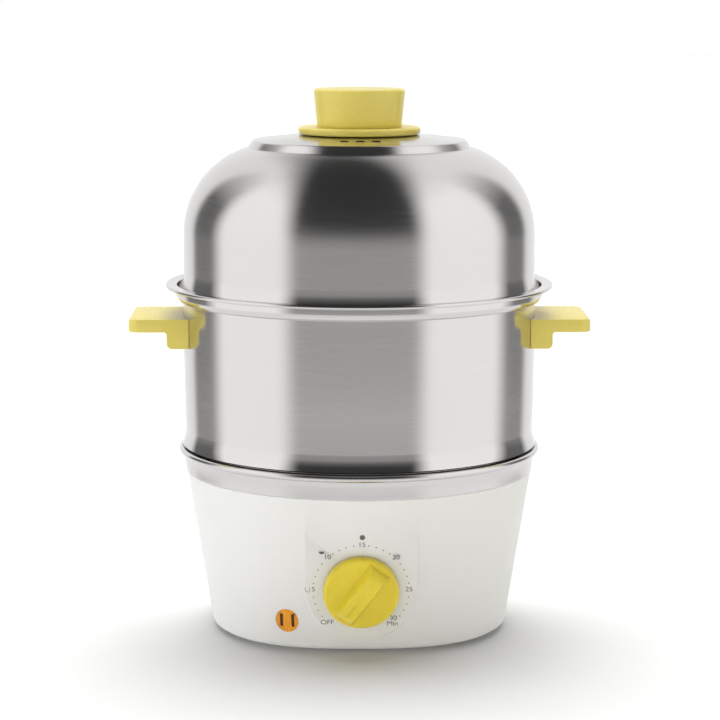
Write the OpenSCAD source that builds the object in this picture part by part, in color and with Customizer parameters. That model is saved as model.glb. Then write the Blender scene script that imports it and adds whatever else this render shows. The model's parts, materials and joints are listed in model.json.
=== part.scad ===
// Two-tier egg cooker with a mechanical timer.
// Millimetres, +Z up, the front faces -Y, origin on the table under the middle of the base.

/* [Base] */
// Outer radius of the pot wall, which sets every other radius
pot_r = 85; // [84:0.5:87]
// Height of the white housing's top edge above the table
base_h = 75.5; // [75:0.5:80]
// Slope of the housing's side, from vertical
taper = 9.65; // [9:0.05:10.2]
// Wall thickness of the mouldings
wall = 2.6; // [2.2:0.1:3]

/* [Pot and lid] */
// Height of the pot ring, from its foot to the ledge that the lid stands on
ring_h = 72.5; // [68:0.5:80]
// Thickness of the drawn steel
sheet = 0.8; // [0.6:0.1:1]
// Radius of the dome's shoulder
dome_r = 43; // [40:0.5:44]
// Height of the lid's upright wall above its foot
lid_wall_h = 29.6; // [24:0.2:40]
// Diameter of the egg seats in the rack
egg_seat_d = 38; // [34:1:40]

/* [Handles and knobs] */
// Depth of a side handle, front to back
handle_depth = 50; // [40:1:56]
// Reach of a side handle from the middle of the pot
handle_reach = 110.5; // [108:0.5:116]
// Diameter of the timer knob
dial_d = 35; // [33:0.5:36]
// Diameter of the lid knob's grip at its top
lid_knob_d = 44.2; // [40:0.2:50]
// Diameter of the lid knob's flange
lid_flange_d = 58.8; // [54:0.2:64]

/* [Hidden] */
$fn = 96;

white = "#f1f1ec";
yellow = "#e2cf55";
steel = "#c8c8c8";
brass = "#c9a95a";

// Heights
cover_z = 1.3;
cover_top_z = 5.7;
housing_z = 5.9;
floor_t = 2.4;
foot_d = 15;
foot_spot_r = 52;
gland_z = 18;
lens_z = 15.3;
lip_z = base_h + 12.4;
ring_z = lip_z;
ledge_z = ring_z + ring_h;
rim_z = ledge_z + 6;
lid_wall_z = ledge_z + 11.6;
dome_z = ledge_z + lid_wall_h;
plate_edge_z = dome_z + dome_r * 41.5 / 43;
lid_top_z = plate_edge_z + 6.5;

// Radii
housing_top_r = pot_r - 1.1;
// Shape of the base's plan at its foot: 2 gives a circle, 1 a square
foot_power = 1.667;
plan_points = 96;
bead_r = 1.4;
bead_mid_r = pot_r + 1.15;
pan_r = pot_r - 5.4;
neck_r = pot_r + 3.8;
rim_r = pot_r + 8.6;
lid_wall_r = pot_r - 0.3;

// Dial face: its own frame has x to the right, y up the panel and z out of it
dial_z = 31.8;
panel_half_w = 26.6;
panel_rise = 0.9;
panel_t = 2.8;
panel_fade_y = 6;
panel_fade_r = 64;
panel_proud = 0.06;
pointer_turn = 143;
lens_turn = 20.4;
lens_r = 5.6;

// Timer works
shaft_r = 3;
running_gap = 0.05;
front_plate_z = -panel_t - 1.2;
back_plate_z = -23.2;
plate_w = 42;
plate_up = 22.5;
plate_down = 20;
main_teeth = 40;
pinion_leaves = 8;
main_module = 0.7;
second_teeth = 32;
second_module = 0.5;
second_turn = 45;
escape_turn = 150;
second_at = (main_teeth + pinion_leaves) / 2 * main_module * [cos(second_turn), sin(second_turn)];
escape_at = second_at
    + (second_teeth + pinion_leaves) / 2 * second_module * [cos(escape_turn), sin(escape_turn)];
arbor_r = 1;
pivot_r = 0.6;

// Heater stack
spreader_r = 58;
spreader_z = base_h - 16.7;
spreader_t = 3.1;
element_mid_r = 45;
element_r = 3.6;
shield_z = spreader_z - 11;

// Points round an arc, from one angle to another
function arc(middle, r, from, to, steps = 6) =
    [for (i = [0:steps]) let (a = from + (to - from) * i / steps) middle + r * [cos(a), sin(a)]];
// Distance of the housing's front from the axis, at a height
function housing_r(z) = housing_top_r - (base_h - z) * tan(taper);
// How far the rounded square at the foot of the base reaches toward the side that faces angle a
function foot_reach(a) = housing_r(housing_z)
    * pow(pow(abs(cos(a)), foot_power) + pow(abs(sin(a)), foot_power), 1 / foot_power);
function foot_point(a) = housing_r(housing_z)
    * [sign(cos(a)) * pow(abs(cos(a)), foot_power - 1), sign(sin(a)) * pow(abs(sin(a)), foot_power - 1)]
    / pow(pow(abs(cos(a)), foot_power) + pow(abs(sin(a)), foot_power), 1 - 1 / foot_power);
// Point of the housing's wall that faces angle a: a rounded square at the foot, a circle at the top
function plan_point(a, z, inset = 0) = let (up = (z - housing_z) / (base_h - housing_z))
    (1 - up) * foot_point(a) + (up * housing_top_r - inset) * [cos(a), sin(a)];
// Outline of a toothed wheel: straight-sided teeth, narrower at the tip
function gear(teeth, pitch_r, module_size, rise, root_share, tip_share) =
    let (step = 360 / teeth, foot_r = pitch_r - 1.25 * module_size, tip_r = pitch_r + rise * module_size)
    [for (i = [0:teeth - 1]) each [
        foot_r * [cos((i - root_share / 2) * step), sin((i - root_share / 2) * step)],
        tip_r * [cos((i - tip_share / 2) * step), sin((i - tip_share / 2) * step)],
        tip_r * [cos((i + tip_share / 2) * step), sin((i + tip_share / 2) * step)],
        foot_r * [cos((i + root_share / 2) * step), sin((i + root_share / 2) * step)]]];

module lathe(points) rotate_extrude() polygon(points);

// A ring of rectangular section
module band(inner_r, outer_r, low, high)
    lathe([[inner_r, low], [outer_r, low], [outer_r, high], [inner_r, high]]);

module rod(r, low, high) translate([0, 0, low]) cylinder(r = r, h = high - low);

// Children in the dial face's frame
module on_face()
    translate([0, -housing_r(dial_z) - panel_proud, dial_z]) rotate([90 + taper, 0, 0]) children();

// Children in the frame of a spot on the housing's wall, which faces turn degrees round from the front
module on_wall(turn, z) {
    spot = plan_point(turn - 90, z);
    slope = atan((housing_top_r - foot_reach(turn - 90)) / (base_h - housing_z));
    translate([spot.x, spot.y, z]) rotate([0, 0, turn]) rotate([90 + slope, 0, 0]) children();
}

module around(count, r, first = 0)
    for (i = [0:count - 1]) rotate([0, 0, first + 360 * i / count]) translate([r, 0, 0]) children();

// A straight length of wire with round ends
module wire_run(from, to, r) hull() for (end = [from, to]) translate(end) sphere(r = r, $fn = 8);

module wire_path(points, r) for (i = [0:len(points) - 2]) wire_run(points[i], points[i + 1], r);

// A screw with a pan head, standing on its head's underside and pointing down
module screw(r, shank, head_r, head_h) {
    rod(r, -shank, 0);
    difference() {
        rod(head_r, 0, head_h);
        for (a = [0, 90]) rotate([0, 0, a])
            translate([-head_r * 0.6, -0.4, head_h - 0.6]) cube([head_r * 1.2, 0.8, 2]);
    }
}

// ---- Base ----

// Solid through the base's outline at a list of [height, inset from the wall]
module plan_stack(levels) {
    n = plan_points;
    function corner(j, i) = j * n + i % n;
    polyhedron(
        points = [for (level = levels, i = [0:n - 1])
            let (spot = plan_point(360 * i / n, level[0], level[1])) [spot.x, spot.y, level[0]]],
        faces = concat(
            [[for (i = [0:n - 1]) i]],
            [for (j = [0:len(levels) - 2], i = [0:n - 1]) each [
                [corner(j, i), corner(j + 1, i), corner(j + 1, i + 1)],
                [corner(j, i), corner(j + 1, i + 1), corner(j, i + 1)]]],
            [[for (i = [n - 1:-1:0]) (len(levels) - 1) * n + i]]));
}

module housing_body(inset, low, high) plan_stack([[low, inset], [high, inset]]);

// U-shaped outline of the dial panel
module panel_outline(inset) {
    translate([0, panel_rise]) circle(r = panel_half_w - inset);
    translate([-panel_half_w + inset, panel_rise]) square([2 * (panel_half_w - inset), 60]);
}

panel_depth = 14;

// The panel's flat face, rolling back into the round wall near its top
module panel_block() on_face() intersection() {
    translate([0, 0, -panel_depth]) linear_extrude(panel_depth) panel_outline(0);
    union() {
        translate([-40, -40, -panel_depth]) cube([80, 40 + panel_fade_y, panel_depth]);
        translate([-40, panel_fade_y, -panel_fade_r]) rotate([0, 90, 0])
            cylinder(r = panel_fade_r, h = 80, $fn = 240);
    }
}

cover_boss_r = 63;
cover_boss_turns = [45, 135, 225, 315];
bracket_turns = [25, 90, 155];
bracket_boss_r = 71;
screw_hole_r = 1.3;
timer_screw_x = 11;
bushing_r = 5;

module base_housing() color(white) difference() {
    union() {
        difference() {
            intersection() {
                union() {
                    housing_body(0, housing_z, base_h);
                    panel_block();
                }
                translate([-150, -150, housing_z]) cube([300, 300, base_h - housing_z]);
            }
            housing_body(wall, housing_z - 1, base_h + 1);
            on_face() intersection() {
                translate([0, 0, -16]) linear_extrude(16 - panel_t) panel_outline(wall);
                translate([-40, -40, -16]) cube([80, 40 + panel_fade_y + plate_up - 3, 16]);
            }
        }
        intersection() {
            for (a = cover_boss_turns) rotate([0, 0, a]) {
                translate([cover_boss_r, 0, 0]) rod(4, cover_z + floor_t, 24);
                translate([cover_boss_r, -1, 9.4]) cube([20, 2, 14.6]);
            }
            housing_body(wall / 2, 0, base_h);
        }
        intersection() {
            for (a = bracket_turns) rotate([0, 0, a]) {
                translate([bracket_boss_r, 0, 0]) rod(4.5, 38, spreader_z - 1.2);
                translate([bracket_boss_r, -1.5, 38]) cube([16, 3, spreader_z - 1.2 - 38]);
            }
            housing_body(wall / 2, 0, base_h);
        }
    }
    for (a = cover_boss_turns) rotate([0, 0, a]) translate([cover_boss_r, 0, 0]) rod(screw_hole_r, 0, 20);
    for (a = bracket_turns) rotate([0, 0, a])
        translate([bracket_boss_r, 0, 0]) rod(screw_hole_r, 46, spreader_z);
    on_face() {
        rod(bushing_r + running_gap, -6, 1);
        for (x = [-timer_screw_x, timer_screw_x]) translate([x, 0, 0]) {
            rod(1.6, -6, 1);
            rod(3.2, -1.8, 1);
        }
    }
    on_wall(-lens_turn, lens_z) rod(lens_r + 0.1, -8, 4);
    on_wall(180, gland_z) rod(6.1, -8, 4);
}

cover_edge_r = 4.3;
cover_gap = 0.2;
spigot_inset = 3.2;
spigot_t = 1.8;
spigot_top_z = 8.6;
cover_hollow_r = 41;

module bottom_cover() color(white) difference() {
    union() {
        plan_stack([for (a = [-90:22.5:0])
            [cover_z + cover_edge_r * (1 + sin(a)), cover_gap + cover_edge_r * (1 - cos(a))],
            [cover_top_z, cover_gap]]);
        plan_stack([[cover_top_z - 1, spigot_inset], [spigot_top_z, spigot_inset]]);
    }
    plan_stack([[cover_z + floor_t, spigot_inset + spigot_t + 0.4],
                [spigot_top_z + 1, spigot_inset + spigot_t]]);
    rod(cover_hollow_r, 0, cover_z + 0.4);
    for (a = cover_boss_turns) rotate([0, 0, a]) translate([cover_boss_r, 0, 0]) {
        rod(1.7, 0, 8);
        rod(3.4, 0, cover_z + 1.2);
        rod(4.1, cover_z + floor_t, 12);
    }
    for (a = [0:90:270]) rotate([0, 0, a])
        translate([foot_spot_r, 0, 0]) rod(foot_d / 2 + 0.05, 0, cover_z + 1.2);
    for (a = [0:15:345]) rotate([0, 0, a]) translate([20, -1.2, 0]) cube([16, 2.4, 8]);
}

module rubber_feet() color("#2b2b2b") around(4, foot_spot_r) lathe(concat(
    [[0, 0]], arc([foot_d / 2 - 0.6, 0.6], 0.6, -90, 0), [[foot_d / 2, cover_z + 1.2], [0, cover_z + 1.2]]));

module cover_screws() color(steel) for (a = cover_boss_turns) rotate([0, 0, a])
    translate([cover_boss_r, 0, cover_z + 1.2]) mirror([0, 0, 1]) screw(1.25, 12, 2.9, 1.0);

// Spun band from the housing's top edge to the rolled lip under the pot
collar_bead = arc([bead_mid_r, lip_z - 0.3 - bead_r], bead_r, -60, 180, 12);

module steel_collar() color(steel) lathe(concat(
    [[housing_top_r - wall + 0.4, base_h], [housing_top_r + 0.3, base_h], [pot_r - 0.8, base_h + 1],
     [pot_r - 0.4, base_h + 4], [pot_r + 0.1, base_h + 6.5], [pot_r + 0.8, base_h + 8.4]],
    collar_bead,
    [[pot_r - 0.5, lip_z - 2.6], [pot_r - 0.2, base_h + 8.8], [pot_r - 0.75, base_h + 6.7],
     [pot_r - 1.25, base_h + 4], [pot_r - 1.5, base_h + sheet],
     [housing_top_r - wall + 0.4, base_h + sheet]]));

pan_corner_r = 8;
pan_floor_z = spreader_z + spreader_t;

module heating_pan() color(steel) lathe(concat(
    [[0, pan_floor_z]],
    arc([pan_r - pan_corner_r, pan_floor_z + pan_corner_r], pan_corner_r, -90, 0),
    [[pan_r, lip_z - sheet], [pot_r - 0.3, lip_z - sheet], [pot_r - 0.3, lip_z], [pan_r - sheet, lip_z]],
    arc([pan_r - pan_corner_r, pan_floor_z + pan_corner_r], pan_corner_r - sheet, 0, -90),
    [[0, pan_floor_z + sheet]]));

module pan_gasket() color("#8f8f8f")
    rotate_extrude() translate([pan_r + 2.3, lip_z - 4.4]) circle(r = 2.2, $fn = 32);

module heat_spreader() color("#b9bcc0") difference() {
    rod(spreader_r, spreader_z, pan_floor_z);
    for (a = bracket_turns) rotate([0, 0, a]) translate([52, 0, 0]) rod(1.3, spreader_z - 1, spreader_z + 2);
}

element_gap = 50;

module heating_element() color("#5a5a5c") {
    rotate([0, 0, 90 + element_gap / 2]) rotate_extrude(angle = 360 - element_gap)
        translate([element_mid_r, spreader_z - element_r]) circle(r = element_r, $fn = 32);
    for (a = [90 - element_gap / 2, 90 + element_gap / 2]) rotate([0, 0, a]) translate([element_mid_r, 0, 0]) {
        translate([0, 0, spreader_z - element_r]) sphere(r = element_r, $fn = 32);
        rod(element_r, spreader_z - 14, spreader_z - element_r);
    }
}

module element_terminals() color("#e9e4d6")
    for (a = [90 - element_gap / 2, 90 + element_gap / 2]) rotate([0, 0, a])
    translate([element_mid_r, 0, 0]) {
        rod(3, spreader_z - 17, spreader_z - 14);
        translate([-0.4, -3, spreader_z - 24]) cube([0.8, 6, 7]);
    }

module heat_shield() color("#a5a7a9") difference() {
    union() {
        band(14, 54, shield_z, shield_z + 0.6);
        band(53.4, 54, shield_z, shield_z + 6);
    }
    for (a = [90 - element_gap / 2, 90 + element_gap / 2]) rotate([0, 0, a])
        translate([element_mid_r, 0, 0]) rod(element_r + 1.5, shield_z - 1, shield_z + 2);
    for (a = bracket_turns) rotate([0, 0, a]) translate([49, -7, shield_z + 3]) cube([8, 14, 8]);
}

module pan_brackets() color("#9c9ea0") for (a = bracket_turns) rotate([0, 0, a]) difference() {
    translate([49.5, -5, spreader_z - 1.2]) cube([bracket_boss_r - 45, 10, 1.2]);
    for (x = [52, bracket_boss_r]) translate([x, 0, 0]) rod(1.6, spreader_z - 2, spreader_z + 1);
}

module bracket_screws() color(steel) for (a = bracket_turns) rotate([0, 0, a]) {
    translate([bracket_boss_r, 0, spreader_z]) screw(1.25, 10, 2.8, 1.4);
    translate([52, 0, spreader_z - 1.2]) mirror([0, 0, 1]) screw(1.25, 3, 2.8, 1.4);
}

module thermostat() color("#3c3a38") {
    rod(9.5, spreader_z - 6.5, spreader_z);
    for (x = [-4.5, 4.5]) translate([x - 0.4, -3, spreader_z - 13]) cube([0.8, 6, 6.5]);
}

module thermal_fuse() color("#d8d2c2") translate([0, 26, spreader_z - 3]) rotate([0, 90, 0]) {
    translate([0, 0, -10]) cylinder(r = 2.2, h = 20, $fn = 32);
    for (z = [-16, 10]) translate([0, 0, z]) cylinder(r = 0.6, h = 6, $fn = 24);
}

// Timer plate: square above, round below to fit the U of the dial panel
module timer_plate() intersection() {
    translate([-plate_w / 2, -plate_down]) square([plate_w, plate_down + plate_up]);
    union() {
        translate([0, panel_rise]) circle(r = panel_half_w - wall - 0.3);
        translate([-plate_w / 2, panel_rise]) square([plate_w, plate_up]);
    }
}

pillar_spots = [[-8, -18.5], [14, -14], [-18, 18], [18, 2]];

module timer_front_plate() color(brass) on_face() difference() {
    translate([0, 0, front_plate_z]) linear_extrude(1.2) timer_plate();
    rod(bushing_r + running_gap, -8, 0);
    for (x = [-timer_screw_x, timer_screw_x]) translate([x, 0, 0]) rod(screw_hole_r, -8, 0);
    for (spot = [second_at, escape_at]) translate(spot) rod(pivot_r + running_gap, -8, 0);
}

module timer_back_plate() color(brass) on_face() difference() {
    translate([0, 0, back_plate_z]) linear_extrude(1.2) timer_plate();
    rod(2 + running_gap, back_plate_z - 2, back_plate_z + 3);
    for (spot = [second_at, escape_at]) translate(spot)
        rod(pivot_r + running_gap, back_plate_z - 2, back_plate_z + 3);
}

module timer_pillars() color(steel) on_face() for (spot = pillar_spots) translate(spot)
    rod(2, back_plate_z + 1.2, front_plate_z);

module timer_screws() color(steel) on_face() for (x = [-timer_screw_x, timer_screw_x])
    translate([x, 0, -1.8]) screw(1.25, 3.6, 2.8, 1.4);

module shaft_bushing() color(brass) on_face() difference() {
    union() {
        rod(bushing_r, front_plate_z, 0.3);
        rod(6.2, 0, 0.5);
    }
    rod(shaft_r + running_gap, front_plate_z - 1, 2);
}

// Flat spiral strip
spring_turns = 4;
spring_inner_r = 4.6;
spring_pitch = 2.1;
spring_t = 0.5;
function spiral(extra) = [for (i = [0:spring_turns * 18]) let (a = i * 20)
    (spring_inner_r + spring_pitch * a / 360 + extra) * [cos(a), sin(a)]];
function reversed(list) = [for (i = [len(list) - 1:-1:0]) list[i]];

module mainspring() color("#8a8f96") on_face() translate([0, 0, -16.5]) linear_extrude(6.5)
    polygon(concat(spiral(0), reversed(spiral(spring_t))));

bell_at = [0, -5];

module timer_bell() color("#d9d9d4") on_face() translate(bell_at) {
    lathe(concat([[0, -33]], arc([9, -29], 4, -90, 0), [[13, -27], [12.2, -27]],
        arc([9, -29], 3.2, 0, -90), [[0, -32.2]]));
    rod(1.6, -32.2, back_plate_z);
}

module bell_hammer() color(steel) on_face() translate(bell_at) {
    translate([15.6, 0, 0]) rod(1.6, -30, -26.5);
    translate([15.6, 0, 0]) rod(0.7, -26.5, back_plate_z);
}

module switch_block() color("#7a4a2c") on_face() translate([-20.5, -14.5, -21.8]) cube([8, 11, 5.5]);

module switch_leaves() color(brass) on_face() for (x = [-10.1, -12]) {
    translate([x, -9.5, -20.4]) cube([0.4, 1, 2.6]);
    translate([x, -3.5, -20.4]) cube([0.4, 10, 2.6]);
    translate([x - 0.6, 5.2, -19.1]) rotate([0, 90, 0]) cylinder(r = 1, h = 1.5, $fn = 24);
    translate([-12.4, -3.5, -20.4]) cube([2.7, 0.4, 2.6]);
}

module indicator_lens() color("#d98a2b") on_wall(-lens_turn, lens_z) lathe(concat(
    [[0, -4], [lens_r, -4]], arc([lens_r - 0.7, 0.35], 0.7, 0, 60, 4), [[3.2, 1.15], [0, 1.3]]));

module lamp_holder() color("#dcdcd2") on_wall(-lens_turn, lens_z) difference() {
    rod(7, -12, -4.6);
    rod(4.2, -11, -4);
}

module neon_lamp() color("#f0a850") on_wall(-lens_turn, lens_z) {
    rod(2.6, -10.8, -5);
    translate([0, 0, -5]) sphere(r = 0.9, $fn = 24);
}

module lamp_resistor() color("#b98d5c")
    translate([-36, -36, 9]) rotate([0, 90, 30]) cylinder(r = 1.6, h = 9, $fn = 24);

module terminal_block() color("#efe9da") difference() {
    translate([-14, 38, cover_z + floor_t]) cube([28, 11, 13]);
    for (x = [-9, 0, 9]) translate([x, 43.5, 0]) rod(2, 12, 20);
}

module internal_wires() color("#c0392b") {
    wire_path([[-6, 64, 13], [-6, 56, 11], [-6, 50.2, 11]], 1);
    wire_path([[6, 64, 13], [6, 56, 11], [6, 50.2, 11]], 1);
    wire_path([[-9, 36.8, 11], [-20, 20, 13], [-27, -20, 14], [-24, -44, 18], [-19, -51, 19]], 1);
    wire_path([[-15, -48, 30], [-8, -30, 36], [-4.5, -2, spreader_z - 14.2]], 1);
    wire_path([[4.5, 2, spreader_z - 14.2], [8, 20, spreader_z - 14], [17, 38, spreader_z - 22]], 1);
    wire_path([[9, 36.8, 11], [-6, 34, 20], [-17, 38, spreader_z - 25.2]], 1);
}

module cord_gland() color("#e8e8e2") on_wall(180, gland_z) difference() {
    union() {
        lathe(concat([[0, 0.02], [8.5, 0.02]], arc([7.5, 1.4], 1, 0, 90, 4), [[0, 2.4]]));
        rod(6, -5.4, 0.1);
        rod(8, -8, -5.4);
    }
    rod(3.7, -9, 4);
}

module cord_clamp() color("#9c9ea0") translate([-9, 57.6, cover_z + floor_t]) difference() {
    cube([18, 4, 5.5]);
    for (x = [3, 15]) translate([x, 2, 0]) rod(1.2, -1, 8);
}

// ---- Timer train ----

knob_gap = 0.4;
skirt_top = 5.2;
knob_top = 11.6;
grip_foot_w = 5.7;
grip_top_w = 3.8;
grip_foot_l = 14.6;
grip_top_l = 9.8;

// End view of the bar grip, narrower at its top
module grip_across() rotate([90, 0, 0]) linear_extrude(dial_d, center = true)
    polygon([[-grip_foot_w, skirt_top - 0.1], [grip_foot_w, skirt_top - 0.1],
             [grip_top_w + 0.3, knob_top - 0.5], [grip_top_w - 0.3, knob_top],
             [0.3 - grip_top_w, knob_top], [-grip_top_w - 0.3, knob_top - 0.5]]);

// Side view of the bar grip, whose ends round down to the disc
module grip_along() rotate([90, 0, 90]) linear_extrude(dial_d, center = true)
    polygon([for (side = [0, 1], i = [0:8]) let (a = side * 90 + i * 11.25)
        [(side == 0 ? grip_top_l : -grip_top_l) + (grip_foot_l - grip_top_l) * cos(a),
         skirt_top - 0.1 + (knob_top - skirt_top + 0.1) * sin(a)]]);

module dial_knob() color(yellow) on_face() rotate([0, 0, pointer_turn]) difference() {
    union() {
        lathe(concat([[0, knob_gap], [dial_d / 2 - 0.4, knob_gap], [dial_d / 2, knob_gap + 0.4]],
            arc([dial_d / 2 - 1.5, skirt_top - 1.5], 1.5, 0, 90), [[0, skirt_top]]));
        intersection() {
            grip_across();
            grip_along();
        }
    }
    difference() {
        rod(dial_d / 2 - 2, 0, skirt_top - 1.8);
        rod(5.4, 0, skirt_top);
    }
    rod(6.6, 0, 1.2);
    rod(shaft_r + running_gap, 0, 9.4);
    translate([-0.4, 2.3, knob_top - 0.4]) cube([0.8, grip_top_l - 1.3, 1]);
}

module dial_shaft() color(steel) on_face() {
    rod(shaft_r, -20.8, 9);
    rod(2, back_plate_z - 1, -20.8);
}

module main_wheel() color(brass) on_face() difference() {
    translate([0, 0, -6.8]) linear_extrude(1.2)
        polygon(gear(main_teeth, main_teeth * main_module / 2, main_module, 0.8, 0.5, 0.2));
    rod(shaft_r, -8, -4);
    for (a = [0:90:270]) rotate([0, 0, a + 22]) translate([8, 0, 0]) rod(2.4, -8, -4);
}

module switch_cam() color("#8b5a3c") on_face() difference() {
    rod(8, -20.6, -17.4);
    rod(shaft_r, -21, -17);
    rotate([0, 0, 180]) translate([6.6, -1.4, -21]) cube([3, 2.8, 4]);
}

module arbor(spot, pinion_low, pinion_high, pinion_r, module_size, turn) on_face() translate(spot) {
    rod(arbor_r, back_plate_z + 1.4, front_plate_z - 0.2);
    rod(pivot_r, back_plate_z, front_plate_z + 1.0);
    rotate([0, 0, turn]) translate([0, 0, pinion_low]) linear_extrude(pinion_high - pinion_low)
        polygon(gear(pinion_leaves, pinion_r, module_size, 0.6, 0.42, 0.18));
}

module second_arbor() color(steel)
    arbor(second_at, -7.4, -5.2, pinion_leaves * main_module / 2, main_module, second_turn + 180 + 22.5);

module second_wheel() color(brass) on_face() translate(second_at) rotate([0, 0, escape_turn]) difference() {
    translate([0, 0, -9]) linear_extrude(1)
        polygon(gear(second_teeth, second_teeth * second_module / 2, second_module, 0.8, 0.5, 0.2));
    rod(arbor_r, -10, -7);
}

module escape_arbor() color(steel)
    arbor(escape_at, -9.6, -7.6, pinion_leaves * second_module / 2, second_module, escape_turn + 180 + 22.5);

// Ratchet-shaped wheel that the escapement would release
escape_points = 15;
module escape_wheel() color(brass) on_face() translate(escape_at) difference() {
    translate([0, 0, -19]) linear_extrude(0.8)
        polygon([for (i = [0:escape_points - 1]) let (a = 360 * i / escape_points) each
            [3.7 * [cos(a), sin(a)], 4.9 * [cos(a + 18), sin(a + 18)]]]);
    rod(arbor_r, -20, -17);
}

// ---- Rack, pot ring, tray ----

rack_floor_z = lip_z - 9;
egg_ring_r = 50;

module egg_seats(r, low, high) {
    rod(r, low, high);
    around(6, egg_ring_r) rod(r, low, high);
}

module egg_rack() color("#f4f4f0") difference() {
    lathe(concat(
        [[0, rack_floor_z], [pan_r - 4.4, rack_floor_z], [pan_r - 2.4, rack_floor_z + 2],
         [pan_r - 1.6, lip_z],
         [pot_r - 2, lip_z]],
        [[pot_r - 2, lip_z + 1.2], [pan_r - 3, lip_z + 1.2], [pan_r - 3.8, rack_floor_z + 2.4],
         [pan_r - 5, rack_floor_z + 1.4], [0, rack_floor_z + 1.4]]));
    egg_seats(egg_seat_d / 2, rack_floor_z - 1, rack_floor_z + 4);
    around(6, 29, 30) rod(2.5, rack_floor_z - 1, rack_floor_z + 4);
    around(6, 66, 30) rod(3.5, rack_floor_z - 1, rack_floor_z + 4);
}

flare_r = 18.7;
flare_a = 27.4;
flare_h = flare_r * sin(flare_a);
waist_r = pot_r - 0.8;
bulge_r = 3.6;
bulge_z = ledge_z + 1.1;

module ring_shell() color(steel) difference() {
    lathe(concat(
        arc([waist_r + flare_r, ring_z + flare_h], flare_r, 180 + flare_a, 180),
        [[pot_r, ring_z + 0.6 * ring_h]],
        arc([pot_r + 0.2, bulge_z], bulge_r, -90, 0),
        [[neck_r, rim_z - 1.7], [neck_r + 0.6, rim_z - 1.1]],
        arc([rim_r - 0.9, rim_z - 0.9], 0.9, -90, 90, 8),
        arc([neck_r + 0.1, rim_z - 0.9], 0.8, 90, 180, 3),
        [[neck_r - sheet, rim_z - 0.9], [neck_r - sheet, ledge_z], [pot_r - 0.6, ledge_z],
         [pot_r - sheet, ring_z + 0.6 * ring_h]],
        arc([waist_r + flare_r, ring_z + flare_h], flare_r + sheet, 180, 180 + flare_a - 3),
        [[pot_r - 1, ring_z + 0.7], [pot_r - 1, ring_z]]));
    for (side = [-1, 1], y = handle_screw_y)
        translate([0, y, handle_mid_z]) rotate([0, 90 * side, 0]) rod(2.1, 70, 95);
}

arm_top_z = ledge_z - 9.4;
arm_t = 6;
leg_h = 14;
leg_x = pot_r + 7;
handle_screw_y = [-14, 14];
handle_corner_r = 6;
handle_mid_z = arm_top_z - leg_h / 2;

module handle() {
    difference() {
        union() {
            translate([pot_r - 8, -handle_depth / 2, arm_top_z - leg_h])
                cube([leg_x - pot_r + 8, handle_depth, leg_h]);
            intersection() {
                translate([leg_x - 1, -handle_depth / 2, arm_top_z - arm_t])
                    cube([handle_reach - leg_x + 1, handle_depth, arm_t]);
                union() {
                    translate([leg_x - 1, -handle_depth / 2, arm_top_z - arm_t])
                        cube([handle_reach - leg_x + 1 - handle_corner_r, handle_depth, arm_t]);
                    translate([leg_x - 1, -handle_depth / 2 + handle_corner_r, arm_top_z - arm_t])
                        cube([handle_reach - leg_x + 1, handle_depth - 2 * handle_corner_r, arm_t]);
                    for (side = [-1, 1])
                        translate([handle_reach - handle_corner_r,
                                   side * (handle_depth / 2 - handle_corner_r), 0])
                            rod(handle_corner_r, arm_top_z - arm_t, arm_top_z);
                }
            }
        }
        rod(pot_r + 0.2, 0, arm_top_z + 5);
        for (y = handle_screw_y) translate([0, y, handle_mid_z])
            rotate([0, 90, 0]) rod(1.55, 70, leg_x - 2);
    }
}

module handle_right() color(yellow) handle();
module handle_left() color(yellow) mirror([1, 0, 0]) handle();

module handle_screws() color(steel) for (side = [-1, 1], y = handle_screw_y)
    translate([side * (pot_r - 4.3), y, handle_mid_z]) rotate([0, -90 * side, 0]) screw(1.5, 9, 2.9, 1.4);

module handle_washers() color("#9c9ea0") for (side = [-1, 1], y = handle_screw_y)
    translate([side * (pot_r - 4.3), y, handle_mid_z]) rotate([0, 90 * side, 0]) difference() {
        rod(3.6, 0, 1);
        rod(1.6, -1, 2);
    }

tray_floor_z = ledge_z - 10;
tray_seat_r = 18;

module steam_tray() color(steel) difference() {
    lathe([[0, tray_floor_z], [pot_r - 3.6, tray_floor_z], [pot_r - 1.9, tray_floor_z + 2],
           [pot_r - 1.6, ledge_z],
           [pot_r + 1.1, ledge_z], [pot_r + 1.1, ledge_z + sheet], [pot_r - 2.3, ledge_z + sheet],
           [pot_r - 2.7, tray_floor_z + 2.3], [pot_r - 4, tray_floor_z + sheet], [0, tray_floor_z + sheet]]);
    egg_seats(tray_seat_r, tray_floor_z - 1, tray_floor_z + 2);
    around(6, 29, 30) rod(2, tray_floor_z - 1, tray_floor_z + 2);
    around(6, 66, 30) rod(3, tray_floor_z - 1, tray_floor_z + 2);
    for (a = [21, 39]) around(6, 75, a) rod(2, tray_floor_z - 1, tray_floor_z + 2);
}

// ---- Lid ----

lid_flare_r = 23;
lid_flare_a = 28.6;
dome_mid_r = lid_wall_r - dome_r;
dome_a = 74.1;
knob_hole_r = 2.6;
vent_r = 2;
vent_ring_r = 37.5;
vent_step = 11.3;

function lid_side(inset) = concat(
    arc([lid_wall_r + lid_flare_r, lid_wall_z], lid_flare_r + inset, 180 + lid_flare_a, 180),
    arc([dome_mid_r, dome_z], dome_r - inset, 0, dome_a, 12),
    [[dome_mid_r + 10.6 - inset / 2, plate_edge_z + 1.4 - inset],
     [dome_mid_r + 9.8, plate_edge_z + 3.5 - inset],
     [29, lid_top_z - 0.5 - inset], [12, lid_top_z - inset], [0, lid_top_z - inset]]);

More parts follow.
